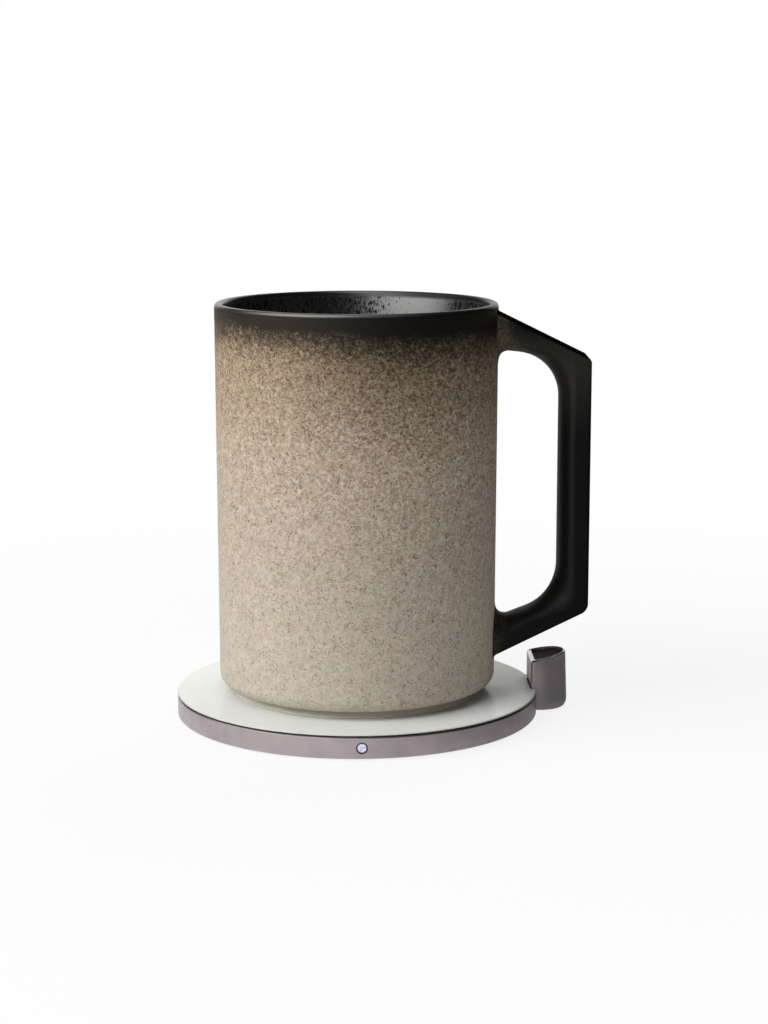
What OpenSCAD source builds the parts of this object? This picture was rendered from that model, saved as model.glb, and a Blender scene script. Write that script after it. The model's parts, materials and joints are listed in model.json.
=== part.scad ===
// Self-heating stoneware mug on its wireless warming pad.
// The origin is on the pad's axis, on the table; +Z is up and +X runs towards the mug's handle.

/* [Mug] */
// Height of the stoneware, from its underside to the rim
mug_h = 112; // [100:0.5:125]
// Outer radius at the rim
rim_r = 41; // [38:0.1:45]
// Outer radius above the bottom corner
base_r = 40.5; // [38:0.1:45]
// Thickness of the wall
mug_wall = 3.6; // [2.8:0.1:4.6]
// Width of the rounded lip
lip_t = 2.4; // [1.8:0.1:2.8]
// Height over which the wall thins towards the lip
lip_taper = 9; // [5:0.5:14]
// Radius of the outer bottom corner
base_round = 5.5; // [3:0.1:7]
// Thickness of the cup's floor above the heater
floor_t = 5; // [3:0.1:8]
// Radius between the cup's floor and wall
floor_round = 10; // [4:0.5:16]

/* [Handle] */
// Width across the flat outer face
handle_w = 15; // [11:0.1:20]
// Reach of the outer face from the rim's radius
handle_reach = 26.6; // [23:0.1:34]
// Height of the upper outer corner above the mug's underside
corner_hi = 96; // [88:0.5:98]
// Height of the lower outer corner above the mug's underside
corner_lo = 22.2; // [20:0.1:32]
// Slope of the two arms' outer faces, in degrees
arm_slope = 26.2; // [15:0.1:32]
// Slope of the two arms' inner sides, in degrees
window_slope = 25; // [15:0.1:32]
// Thickness of the upright grip
grip_t = 9; // [7:0.1:11]
// Thickness of the upper arm
arm_hi_t = 7.1; // [6:0.1:9]
// Thickness of the lower arm
arm_lo_t = 8.3; // [6:0.1:10]
// Depth of the flat sides behind the outer face
side_flat = 4.4; // [3:0.1:5]
// Rounding of the outer face's two long edges
edge_round = 0.7; // [0.3:0.1:1.2]
// Radius of the outer corners
elbow_round = 2; // [1:0.1:5]
// Radius of the window's outer corners
window_round = 12; // [8:0.1:14]
// Radius of the fillets where the arms meet the wall
root_round = 3; // [1.5:0.1:4]

/* [Mug base] */
// Gap between the stoneware and the plate, which is the foot's height
foot_h = 2.2; // [1.9:0.1:4]
// Thickness of the cap's floor
cap_floor = 1.4; // [1:0.1:1.8]
// Width of the flat ring round the bay, half of which is the rebate that seats the cap
seat_w = 2; // [1.2:0.1:3]
// Thickness of the cap's upright wall
cap_wall = 2.5; // [2.2:0.1:3.5]
// Height of the cap's upright wall inside the stoneware
cap_wall_h = 3.4; // [3:0.1:4]
// Thickness of the O-ring
seal_d = 1.5; // [1.2:0.1:1.6]
// Thickness of the insulation between board and heater
insulation_t = 3.2; // [2:0.1:6]
// Thickness of the heater
heater_t = 1.5; // [0.8:0.1:3]
// Radius of the thermal cut-out
thermostat_r = 3; // [2:0.1:5]
// Radius of the heater's two leads
lead_r = 0.5; // [0.3:0.1:0.8]

/* [Pad] */
// Radius of the pad
pad_r = 53.1; // [51:0.1:60]
// Height of the metal band
rim_h = 6.05; // [5.5:0.05:9]
// Thickness of the band's wall
rim_wall = 1.6; // [1.2:0.1:2.2]
// Width of the ledge under the plate's edge
ledge_w = 7; // [6.8:0.1:9]
// Thickness of that ledge
ledge_t = 1.2; // [0.8:0.1:1.6]
// Thickness of the plate at its edge
plate_edge = 0.5; // [0.4:0.05:1.5]
// Depth of the spigot under the plate's edge
spigot_h = 1.5; // [0.8:0.1:1.7]
// Rounding of the plate's and the band's edges
edge_soft = 0.3; // [0.1:0.05:0.45]
// Thickness of the gasket
gasket_t = 0.35; // [0.3:0.05:1]
// Set-back of the gasket from the pad's edge
gasket_inset = 0.5; // [0.2:0.05:1]
// Thickness of the silicone mat under the pad
mat_t = 0.5; // [0.4:0.05:2]
// Thickness of the floor
cover_t = 1.7; // [1.5:0.1:2.4]

/* [Indicator] */
// Bearing of the indicator round the pad, in degrees from +X
led_az = -88.4; // [-120:0.1:-60]
// Radius of the lens
lens_r = 1.2; // [0.8:0.05:1.3]
// Thickness of the dark ring round the lens
bezel_t = 0.35; // [0.2:0.05:0.4]

/* [Post] */
// Bearing of the post round the pad, in degrees from +X
post_az = 5.7; // [-10:0.1:20]
// Turn of the post's flat face out of the pad's tangent, in degrees
post_turn = -4.6; // [-6:0.1:6]
// How far the post's flat face lies inside the pad's edge
post_inset = 1.5; // [1:0.1:2.5]
// Radius of the round end, at the foot
post_r = 8.3; // [8:0.1:9]
// How much the round end draws in from foot to top
post_draft = 0.5; // [0:0.1:0.6]
// Length of the straight sides between the flat face and the round end
post_side = 3; // [2.5:0.1:4]
// Height of the post's top at the flat face, above the table
post_h = 15.5; // [15.2:0.1:18]
// How much the top rises from the flat face to the round end
post_rise = 2.1; // [0:0.1:2.5]
// Thickness of the wall at the top
post_wall = 1; // [0.9:0.05:1.1]
// How far the foot's rounding draws in
post_foot_round = 1.2; // [0.6:0.1:1.3]
// Height of the foot's rounding
post_foot_rise = 2.4; // [0.6:0.1:3]
// Bevel of the top edge
post_bevel = 0.5; // [0.2:0.05:0.6]
// Thickness of the flat face plate
face_t = 1; // [0.8:0.1:1.3]
// Half the width of the flat face plate
face_half = 6.6; // [6:0.1:6.7]

/* [Power key] */
// Travel of the key
key_travel = 0.6; // [0.3:0.05:0.65]
// How far the key's top lies below the post's edge
key_sink = 0.9; // [0:0.05:1.2]
// Thickness of the plate that traps the key
retainer_t = 0.7; // [0.5:0.05:0.9]
// Radius of the switch's plunger
plunger_r = 0.9; // [0.7:0.05:1.2]

/* [Power inlet] */
// Width of the inlet's shell
usb_w = 8.94; // [8.9:0.01:9]
// Height of the inlet's shell
usb_h = 3.26; // [3.2:0.01:3.3]
// Thickness of the shell
usb_wall = 0.3; // [0.2:0.05:0.35]
// Length of the shell
usb_len = 7.2; // [6.8:0.1:7.4]
// Bearing of the inlet round the pad, in degrees from +X
inlet_az = 90; // [75:0.5:105]
// How far the shell's mouth lies inside the pad's edge
inlet_sink = 0.5; // [0.4:0.05:0.8]
// Depth of the pocket in the floor that the shell lies in
inlet_pocket = 0.5; // [0.45:0.05:0.6]

/* [Coils and boards] */
// Inner radius of the two windings
coil_in = 8; // [6:0.5:12]
// Outer radius of the two windings
coil_out = 26; // [20:0.5:27]
// Width of the wire
wire_w = 1.5; // [0.8:0.1:1.7]
// Distance from one turn to the next
coil_pitch = 2.2; // [2.2:0.1:3]
// Thickness of the windings
coil_t = 1.2; // [0.8:0.1:1.4]
// Thickness of the ferrite shields
ferrite_t = 0.8; // [0.5:0.1:1]
// Thickness of the boards
board_t = 0.8; // [0.6:0.1:1]

/* [Hidden] */
$fn = 96;
// Clearance of pieces that slide past each other
slide_gap = 0.15;
// Clearance of pieces that are dropped into a seat
seat_gap = 0.2;
// Dark seam round the post and its face plate
seam = 0.3;
// How far a cut runs past the face that it opens
past = 1;

// Heights of the pad's layers above the table
cover_z = mat_t + cover_t;
rim_z = mat_t + rim_h;
lip_z = rim_z + gasket_t;
plate_z = lip_z + plate_edge;
spigot_z = lip_z - spigot_h;
board_z = cover_z + board_t;
coil_z = spigot_z - coil_t;
ferrite_z = coil_z - ferrite_t;

// Radii of the pad's layers
rim_in = pad_r - rim_wall;
ledge_r = pad_r - ledge_w;
cover_r = rim_in - seat_gap;
spigot_r = ledge_r - seam;
mat_r = cover_r - 0.8;
boss_r = 2;
boss_ring = ledge_r + boss_r + seat_gap;
boss_az = [45, 135, 225, 315];
pilot_r = 0.85;
pilot_h = 2.4;
board_out = boss_ring - boss_r - seam;
tray_out = coil_out + 1;
board_in = tray_out + 1;
groove_d = 0.2;
groove_w = 1.2;

// Screws: head radius, head height, shank radius
cover_screw = [1.8, 0.8, 0.8];
post_screw = [1.1, 0.6, 0.55];
head_gap = 0.1;
shank_gap = 0.15;

// Heights of the layers in the mug's base, above the table
flange_t = 0.8;
mug_z = plate_z + foot_h;
cap_in_z = plate_z + cap_floor;
rx_ferrite_z = cap_in_z + coil_t;
rx_board_z = rx_ferrite_z + ferrite_t;
rx_top_z = rx_board_z + board_t;
heater_z = rx_top_z + insulation_t;
bay_z = heater_z + heater_t;
cup_z = bay_z + floor_t;
top_z = mug_z + mug_h;

// Radii in the mug's base
flange_r = base_r - base_round;
bay_r = flange_r - seat_w;
rebate_r = bay_r + seat_w / 2;
cap_r = bay_r - seam;
cap_in = cap_r - cap_wall;
foot_r = cap_r - 1.2;
layer_r = cap_in - seat_gap;
seal_z = mug_z + (flange_t + cap_wall_h) / 2;
seal_r = bay_r - 0.05 - seal_d / 2;

// The indicator's line, level with the diode on the board
led_size = [1.6, 1.6, 1.2];
led_z = board_z + led_size[2] / 2;
bezel_r = lens_r + bezel_t + 0.05;
bezel_len = rim_wall;
lens_len = rim_wall + 1.6;
tab_w = 5;

// The post stands in its own plan: u runs outwards from the flat face, v sideways
post_u = pad_r - post_inset;
post_depth = post_side + post_r;
post_z = mat_t;
post_top_r = post_r - post_draft;
cavity_r = post_r - 1.5;
cavity_u = face_t + 1;
shelf_t = 0.8;
key_r = post_top_r - post_wall - slide_gap;
well_r = key_r + slide_gap;
throat_r = well_r - 0.7;
shelf_w = 0.4;
stem_r = throat_r - slide_gap;
key_floor = 1.15;
key_under = post_h - key_sink - key_floor;
well_z = key_under - key_travel - slide_gap;
shelf_z = well_z - shelf_t;
retainer_z = shelf_z - retainer_t;
retainer_r = min(cavity_r - slide_gap, throat_r + shelf_w);

// The inlet lies in the floor, with its mouth in the band
inlet_u = pad_r - inlet_sink - usb_len;
usb_z = cover_z - inlet_pocket + usb_h / 2;
usb_slot_gap = 0.1;

// The post's board and switch
neck_half = 5;
cable_t = 0.3;
cable_half = 3;
socket_u = board_out - post_u - 0.6;
socket_d = 2.5;
socket_wall = 0.8;
window_z = board_z + 1.2;
face_z = window_z + seam;
post_board_t = 1;
post_board_u = cavity_u + post_board_t;
post_board_half = 6.2;
switch_gap = 0.35;
post_board_z = retainer_z - key_travel - switch_gap;
switch_h = 2.4;
switch_w = 4;
switch_d = 3.4;
post_boss_r = 1.6;
post_boss_ring = cavity_r - post_boss_r + 0.1;
post_boss_h = 2.4;

// Points of the handle, in the X-Z plane
grip_x = rim_r + handle_reach;
window_x = grip_x - grip_t;
elbow_hi = [grip_x, mug_z + corner_hi];
elbow_lo = [grip_x, mug_z + corner_lo];
inner_hi = [window_x, elbow_hi[1] + grip_t * tan(arm_slope) - arm_hi_t / cos(arm_slope)];
inner_lo = [window_x, elbow_lo[1] - grip_t * tan(arm_slope) + arm_lo_t / cos(arm_slope)];
root_depth = mug_wall * 0.6;
root_steps = 5;
elbow_steps = 14;
crown_steps = 20;

stoneware = [0.68, 0.61, 0.52];
glaze_black = [0.10, 0.09, 0.09];
metal = [0.58, 0.54, 0.56];
steel = [0.72, 0.73, 0.75];
plate_white = [0.90, 0.91, 0.89];
black_plastic = [0.13, 0.13, 0.14];
foot_grey = [0.28, 0.27, 0.24];
indigo = [0.18, 0.16, 0.27];
grey_rubber = [0.30, 0.30, 0.31];
copper = [0.76, 0.46, 0.26];
ferrite_grey = [0.24, 0.24, 0.26];
board_green = [0.13, 0.38, 0.25];
lilac = [0.85, 0.82, 0.98];

function unit(v) = v / norm(v);
function turned(v, a) = [v[0] * cos(a) - v[1] * sin(a), v[0] * sin(a) + v[1] * cos(a)];

// Arc of radius r that rounds the corner p of the line a, p, b, as n + 1 points
function fillet(a, p, b, r, n) =
  let (to_a = unit(a - p), to_b = unit(b - p), half = acos(to_a * to_b) / 2)
  let (middle = p + unit(to_a + to_b) * r / sin(half))
  let (first = p + to_a * r / tan(half) - middle, last = p + to_b * r / tan(half) - middle)
  let (sweep = sign(cross(first, last)) * acos(first * last / (r * r)))
  [for (i = [0:n]) middle + turned(first, sweep * i / n)];

// Point where a line from p touches the circle of radius r round c, on the circle's left side
function touch(p, c, r) =
  let (way = c - p, a = atan2(way[1], way[0]) + asin(r / norm(way)))
  p + sqrt(way * way - r * r) * [cos(a), sin(a)];

// Closed skin over rings of points, with flat ends
module loft(rings) {
  n = len(rings[0]);
  m = len(rings);
  polyhedron(
    points = [for (ring = rings) each ring],
    faces = concat(
      [[for (i = [0:n - 1]) i]],
      [[for (i = [n - 1:-1:0]) (m - 1) * n + i]],
      [for (j = [0:m - 2], i = [0:n - 1]) [j * n + i, (j + 1) * n + i, j * n + (i + 1) % n]],
      [for (j = [0:m - 2], i = [0:n - 1])
        [j * n + (i + 1) % n, (j + 1) * n + i, (j + 1) * n + (i + 1) % n]]),
    convexity = 8);
}

module at_z(z) { translate([0, 0, z]) children(); }
module disc(r, z, t) { at_z(z) cylinder(r = r, h = t); }
module ring(r_out, r_in, z, t) {
  difference() {
    disc(r_out, z, t);
    disc(r_in, z - past, t + 2 * past);
  }
}
module on_circle(r, bearings) {
  for (a = bearings) rotate(a) translate([r, 0, 0]) children();
}
// Box on the pad's radius line: from u_0 to u_1, half_v to each side, from z_0 to z_1
module bar(u_0, u_1, half_v, z_0, z_1) {
  translate([u_0, -half_v, z_0]) cube([u_1 - u_0, 2 * half_v, z_1 - z_0]);
}

// Screw with its head down at z and a cross recess
module screw(size, z, length) {
  slot = size[0] * 0.35;
  difference() {
    union() {
      disc(size[0], z, size[1]);
      disc(size[2], z + size[1], length);
    }
    for (a = [0, 90]) rotate(a)
      translate([-size[0] * 0.7, -slot / 2, z - past]) cube([size[0] * 1.4, slot, past + size[1] / 2]);
  }
}
// Room for that screw in the piece that it holds
module screw_room(size, z, t) {
  disc(size[0] + head_gap, z - past, past + size[1]);
  disc(size[2] + shank_gap, z, t + past);
}

// Flat spiral winding from coil_in to coil_out, with its lower face at z
module winding(z) {
  turns = floor((coil_out - coil_in - wire_w) / coil_pitch);
  stations = turns * 24;
  at_z(z) linear_extrude(coil_t) polygon(concat(
    [for (i = [0:stations]) turned([coil_in + coil_pitch * i / 24, 0], 15 * i)],
    [for (i = [stations:-1:0]) turned([coil_in + wire_w + coil_pitch * i / 24, 0], 15 * i)]));
}

// Places a piece in the post's own plan
module in_post() { rotate(post_az) translate([post_u, 0, 0]) rotate(post_turn) children(); }
// D outline of radius r, with its flat at u
module d_plan(r, u) {
  translate([post_side, 0]) intersection() {
    union() {
      circle(r = r);
      translate([-post_side - post_r, -r]) square([post_side + post_r, 2 * r]);
    }
    translate([u - post_side, -2 * r]) square([4 * r, 4 * r]);
  }
}
module d_block(r, u, z, t) { at_z(z) linear_extrude(t) d_plan(r, u); }
// Height of the post's sloping top at a distance u from its flat face
function post_top(u) = post_h + post_rise * u / post_depth;
// The two screw bosses in the post's foot
module at_post_bosses() {
  translate([post_side, 0, 0]) on_circle(post_boss_ring, [-62, 62]) children();
}
// Room that the pad's edge leaves for the post, outwards from a flat at u
module post_room(u = -seam) {
  in_post() d_block(post_r + seam, u, mat_t - past, plate_z + 2 * past);
}

module top_plate() {
  color(plate_white) difference() {
    rotate_extrude() polygon([[0, spigot_z], [spigot_r, spigot_z], [spigot_r, lip_z], [pad_r, lip_z],
      [pad_r, plate_z - edge_soft], [pad_r - edge_soft, plate_z], [0, plate_z]]);
    post_room();
  }
}

module plate_gasket() {
  color(black_plastic) difference() {
    ring(pad_r - gasket_inset, ledge_r, rim_z, gasket_t);
    post_room();
  }
}

module rim_shell() {
  room_half = post_r + seam;
  color(metal) difference() {
    union() {
      rotate_extrude() polygon([[ledge_r, rim_z - ledge_t], [rim_in, rim_z - ledge_t], [rim_in, mat_t],
        [pad_r - edge_soft, mat_t], [pad_r, mat_t + edge_soft], [pad_r, rim_z - edge_soft],
        [pad_r - edge_soft, rim_z], [ledge_r, rim_z]]);
      // The screw bosses run up into the ledge
      on_circle(boss_ring, boss_az) disc(boss_r, cover_z, rim_z - ledge_t / 2 - cover_z);
    }
    on_circle(boss_ring, boss_az) disc(pilot_r, cover_z - past, pilot_h + past);
    rotate(led_az) translate([rim_in - past, 0, led_z]) rotate([0, 90, 0])
      cylinder(r = bezel_r + 0.05, h = rim_wall + 2 * past);
    rotate(inlet_az) translate([rim_in - past, 0, usb_z]) inlet_plan(usb_slot_gap, rim_wall + 2 * past);
    // This room runs in past the wall, so that no sliver of it stays behind the post
    post_room(sqrt(pow(rim_in, 2) - pow(room_half, 2)) - room_half * abs(sin(post_turn)) - seam - post_u);
  }
}

module base_cover() {
  color(black_plastic) difference() {
    union() {
      disc(cover_r, mat_t, cover_t);
      in_post() bar(cover_r - post_u - past, post_board_u, neck_half, mat_t, cover_z);
      in_post() d_block(cavity_r - seat_gap, cavity_u + seat_gap, mat_t, cover_t);
    }
    on_circle(boss_ring, boss_az) screw_room(cover_screw, mat_t, cover_t);
    in_post() at_post_bosses() screw_room(post_screw, mat_t, cover_t);
    // Pocket for the power inlet
    rotate(inlet_az)
      bar(inlet_u - head_gap, cover_r + past, usb_w / 2 + head_gap, usb_z - usb_h / 2, cover_z + past);
  }
}

module anti_slip_mat() {
  color(grey_rubber) difference() {
    disc(mat_r, 0, mat_t);
    for (share = [0.45, 0.7, 0.9]) ring(mat_r * share, mat_r * share - groove_w, -past, past + groove_d);
  }
}

module cover_screws() {
  color(steel) on_circle(boss_ring, boss_az)
    screw(cover_screw, mat_t, cover_t - cover_screw[1] + pilot_h - seam);
}

module coil_tray() {
  color(black_plastic) difference() {
    disc(tray_out, cover_z, ferrite_z - cover_z);
    disc(coil_in, cover_z - past, ferrite_z);
  }
}

module transmitter_ferrite() { color(ferrite_grey) disc(tray_out, ferrite_z, ferrite_t); }
module transmitter_coil() { color(copper) winding(coil_z); }
module plate_sensor() { color(black_plastic) disc(coil_in / 2, coil_z, coil_t); }

module circuit_board() {
  color(board_green) difference() {
    union() {
      ring(board_out, board_in, cover_z, board_t);
      rotate(led_az) bar(board_out - past, pad_r - lens_len, tab_w / 2, cover_z, board_z);
    }
    // Notch for the power inlet
    rotate(inlet_az)
      bar(inlet_u - seat_gap, board_out + past, usb_w / 2 + seat_gap, cover_z - past, board_z + past);
  }
}

module board_chips() {
  middle = (board_in + board_out) / 2;
  color(black_plastic) {
    on_circle(middle, [led_az - 40]) translate([-3, -3, board_z]) cube([6, 6, 0.9]);
    on_circle(middle, [for (i = [0:3]) 120 + 14 * i])
      translate([-1.6, -1.25, board_z]) cube([3.2, 2.5, 1.4]);
  }
}

module board_connector() {
  color(black_plastic) in_post()
    bar(socket_u - socket_d, socket_u, cable_half + socket_wall, board_z, window_z);
}

module ribbon_cable() {
  color(plate_white) in_post() bar(socket_u, cavity_u, cable_half, board_z, board_z + cable_t);
}

module status_led() {
  color(lilac) rotate(led_az)
    bar(pad_r - lens_len - led_size[0], pad_r - lens_len, led_size[1] / 2, board_z, board_z + led_size[2]);
}

module led_lens() {
  color(lilac) rotate(led_az) translate([pad_r - lens_len, 0, led_z]) rotate([0, 90, 0])
    cylinder(r = lens_r, h = lens_len);
}

module led_bezel() {
  color(indigo) rotate(led_az) translate([pad_r - bezel_len, 0, led_z]) rotate([0, 90, 0])
    ring(bezel_r, lens_r + 0.05, 0, bezel_len);
}

// Ring of the post's outer skin, drawn in by inset from its radius r, at the height z or on the sloping top
function post_ring(r, inset, z, under_top) =
  let (corner = 0.8, e = r - inset, n = 60)
  let (plan = concat(
    fillet([post_side, e], [inset, e], [inset, 0], corner, 4),
    fillet([inset, 0], [inset, -e], [post_side, -e], corner, 4),
    [for (i = [0:n]) let (a = 180 * i / n) [post_side + e * sin(a), -e * cos(a)]]))
  [for (p = plan) [p[0], p[1], is_undef(z) ? post_top(p[0]) - under_top : z]];

module post_shell() {
  foot_steps = 6;
  color(metal) in_post() difference() {
    union() {
      difference() {
        loft(concat(
          [for (i = [0:foot_steps]) let (a = 90 * i / foot_steps)
            post_ring(post_r, post_foot_round * (1 - sin(a)), post_z + post_foot_rise * (1 - cos(a)))],
          [post_ring(post_top_r, 0, undef, post_bevel), post_ring(post_top_r, post_bevel, undef, 0)]));
        d_block(cavity_r, cavity_u, post_z - past, shelf_z - post_z + past);
      }
      at_post_bosses() disc(post_boss_r, cover_z, post_boss_h);
    }
    // Well for the key, and the throat that its stem passes
    d_block(well_r, face_t, well_z, post_rise + post_h);
    d_block(throat_r, cavity_u + shelf_w, shelf_z - past, shelf_t + 2 * past);
    // Slot for the flat face plate
    bar(-past, face_t, face_half + seam, face_z - seam, post_h + past);
    // Way in for the floor's tongue and the cable
    bar(-past, cavity_u + past, neck_half + seam, post_z - past, window_z);
    at_post_bosses() disc(post_screw[2] + 0.05, cover_z - past, post_boss_h + past - 0.4);
  }
}

module post_plate() {
  top = post_top(0);
  color(metal) in_post() rotate([90, 0, 0]) at_z(-face_half) linear_extrude(2 * face_half)
    polygon([[0, face_z], [face_t, face_z], [face_t, top], [post_bevel, top], [0, top - post_bevel]]);
}

module post_board() {
  color(board_green) in_post() bar(cavity_u, post_board_u, post_board_half, cover_z, post_board_z);
}

module in_inlet() { rotate(inlet_az) translate([inlet_u, 0, usb_z]) children(); }
// Long round outline of the inlet, grown by grow, drawn out along u
module inlet_plan(grow, length) {
  h = usb_h / 2 + grow;
  side = (usb_w - usb_h) / 2;
  rotate([0, 90, 0]) linear_extrude(length) union() {
    translate([-h, -side]) square([2 * h, 2 * side]);
    for (s = [-1, 1]) translate([0, s * side]) circle(r = h);
  }
}

module usb_socket_shell() {
  color(steel) in_inlet() difference() {
    inlet_plan(0, usb_len);
    translate([-past, 0, 0]) inlet_plan(-usb_wall, usb_len + 2 * past);
  }
}

module usb_tongue() {
  base_len = 1.6;
  tongue_t = 0.7;
  tongue_w = usb_w - 2.2;
  color(black_plastic) in_inlet() union() {
    inlet_plan(-usb_wall - 0.05, base_len);
    bar(base_len - past, usb_len - past, tongue_w / 2, -tongue_t / 2, tongue_t / 2);
  }
}

module button_switch() {
  u = post_board_u;
  color(black_plastic) in_post() difference() {
    bar(u, u + switch_d, switch_w / 2, post_board_z - switch_h, post_board_z);
    translate([u + switch_d / 2, 0, 0])
      disc(plunger_r + 0.1, post_board_z - switch_h + 0.6, switch_h);
  }
}

module switch_plunger() {
  foot = post_board_z - switch_h + 0.7 + key_travel;
  color(steel) in_post() translate([post_board_u + switch_d / 2, 0, 0])
    disc(plunger_r, foot, retainer_z - foot);
}

module button_retainer() {
  color(steel) in_post() d_block(retainer_r, cavity_u + slide_gap, retainer_z, retainer_t);
}

module power_button() {
  low_top = post_h - key_sink;
  color(glaze_black) in_post() union() {
    d_block(stem_r, cavity_u + shelf_w + slide_gap, shelf_z, key_under - shelf_z);
    intersection() {
      d_block(key_r, face_t + slide_gap, key_under, post_rise + post_h);
      rotate([90, 0, 0]) at_z(-2 * post_r) linear_extrude(4 * post_r)
        polygon([[0, key_under], [post_depth, key_under], [post_depth, low_top + post_rise], [0, low_top]]);
    }
  }
}

module post_screws() {
  color(steel) in_post() at_post_bosses()
    screw(post_screw, mat_t, cover_t - post_screw[1] + post_boss_h - 0.6);
}

// Outer radius of the stoneware at the height z above the table
function wall_r(z) = base_r + (rim_r - base_r) * (z - mug_z) / mug_h;

// Outline of the stoneware without its hollows
module mug_outline() {
  lip = lip_t / 2;
  union() {
    polygon([[0, mug_z], [flange_r, mug_z], [flange_r, mug_z + base_round], [base_r, mug_z + base_round],
      [rim_r, top_z - lip], [0, top_z - lip]]);
    translate([flange_r, mug_z + base_round]) circle(r = base_round);
    translate([rim_r - lip, top_z - lip]) circle(r = lip);
  }
}

module mug_body() {
  lip = lip_t / 2;
  in_low = base_r - mug_wall;
  taper_z = top_z - lip_taper;
  taper = [wall_r(taper_z) - mug_wall, taper_z];
  crest = touch(taper, [rim_r - lip, top_z - lip], lip);
  color(stoneware) rotate_extrude() difference() {
    mug_outline();
    // The cup, with its rounded floor
    polygon([[0, cup_z], [in_low - floor_round, cup_z], [in_low, cup_z + floor_round], taper, crest,
      [crest[0], top_z + past], [0, top_z + past]]);
    intersection() {
      translate([in_low - floor_round, cup_z + floor_round]) circle(r = floor_round);
      translate([in_low - floor_round, cup_z]) square([floor_round, floor_round]);
    }
    // The bay for the heater and the receiver
    translate([0, mug_z - past]) square([bay_r, bay_z - mug_z + past]);
    // The rebate that takes the cap's flange
    translate([0, mug_z - past]) square([rebate_r, flange_t + past]);
  }
}

// The handle's outer and inner lines share their stations: root, elbow, upright, elbow, root
function handle_root(elbow, slope, way) =
  let (x = wall_r(elbow[1])) [x, elbow[1] + way * (elbow[0] - x) * tan(slope)];
hi_out = handle_root(elbow_hi, arm_slope, 1);
lo_out = handle_root(elbow_lo, arm_slope, -1);
hi_in = handle_root(inner_hi, window_slope, 1);
lo_in = handle_root(inner_lo, window_slope, -1);
hi_root = fillet([hi_in[0], inner_lo[1]], hi_in, inner_hi, root_round, root_steps);
lo_root = fillet(inner_lo, lo_in, [lo_in[0], inner_hi[1]], root_round, root_steps);
function into_wall(p) = [p[0] - root_depth, p[1]];
function along_arm(a, b, xs) = [for (x = xs) a + (b - a) * (x - a[0]) / (b[0] - a[0])];
outer_line = concat(
  [into_wall(hi_out)], along_arm(hi_out, elbow_hi, [for (p = hi_root) p[0]]),
  fillet(hi_out, elbow_hi, elbow_lo, elbow_round, elbow_steps),
  fillet(elbow_hi, elbow_lo, lo_out, elbow_round, elbow_steps),
  along_arm(lo_out, elbow_lo, [for (p = lo_root) p[0]]), [into_wall(lo_out)]);
inner_line = concat(
  [into_wall(hi_root[0])], hi_root,
  fillet(hi_in, inner_hi, inner_lo, window_round, elbow_steps),
  fillet(inner_hi, inner_lo, lo_in, window_round, elbow_steps),
  lo_root, [into_wall(lo_root[root_steps])]);

// D section from the outer point a to the inner point b: flat face, short flat sides, half-oval inside
function handle_ring(a, b) =
  let (depth = norm(b - a), inward = unit(b - a), half = handle_w / 2, crown = depth - side_flat)
  let (section = concat(
    [[0, half - edge_round], [0, edge_round - half], [edge_round, -half]],
    [for (i = [0:crown_steps]) let (t = 180 * i / crown_steps - 90)
      [side_flat + crown * cos(t), half * sin(t)]],
    [[edge_round, half]]))
  [for (q = section) [a[0] + inward[0] * q[0], q[1], a[1] + inward[1] * q[0]]];

module mug_handle() {
  color(glaze_black) difference() {
    loft([for (i = [0:len(outer_line) - 1]) handle_ring(outer_line[i], inner_line[i])]);
    rotate_extrude() mug_outline();
  }
}

module base_cap() {
  color(foot_grey) difference() {
    union() {
      disc(foot_r, plate_z, foot_h);
      disc(rebate_r - seat_gap, mug_z, flange_t);
      disc(cap_r, mug_z, cap_wall_h);
    }
    disc(cap_in, cap_in_z, foot_h + cap_wall_h);
    ring(cap_r + past, seal_r - seal_d / 2 - 0.05, seal_z - seal_d / 2 - 0.05, seal_d + 0.1);
  }
}

module base_seal() {
  color(grey_rubber) at_z(seal_z) rotate_extrude() translate([seal_r, 0]) circle(r = seal_d / 2);
}

module receiver_coil() { color(copper) winding(cap_in_z); }
module receiver_ferrite() { color(ferrite_grey) disc(layer_r, rx_ferrite_z, ferrite_t); }
module receiver_board() { color(board_green) disc(layer_r, rx_board_z, board_t); }

chip = [3.2, 3.2, 1];
chip_ring = 18;
lead_ring = 11;
module rectifier_chips() {
  color(black_plastic) on_circle(chip_ring, [0, 90, 180, 270])
    translate([-chip[0] / 2, -chip[1] / 2, rx_top_z]) cube(chip);
}

module insulation_pad() {
  color(plate_white) difference() {
    disc(layer_r, rx_top_z, insulation_t);
    disc(thermostat_r + seat_gap, rx_top_z - past, insulation_t + 2 * past);
    on_circle(lead_ring, [45, 225]) disc(lead_r + seat_gap, rx_top_z - past, insulation_t + 2 * past);
    on_circle(chip_ring, [0, 90, 180, 270])
      translate([-chip[0] / 2 - seat_gap, -chip[1] / 2 - seat_gap, rx_top_z - past])
        cube([chip[0] + 2 * seat_gap, chip[1] + 2 * seat_gap, past + chip[2] + seat_gap]);
  }
}

module heater_disc() { color(steel) disc(bay_r - seam, heater_z, heater_t); }
module thermostat() { color(black_plastic) disc(thermostat_r, rx_top_z, insulation_t); }
module heater_leads() {
  color(copper) on_circle(lead_ring, [45, 225]) disc(lead_r, rx_top_z, insulation_t);
}

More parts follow.
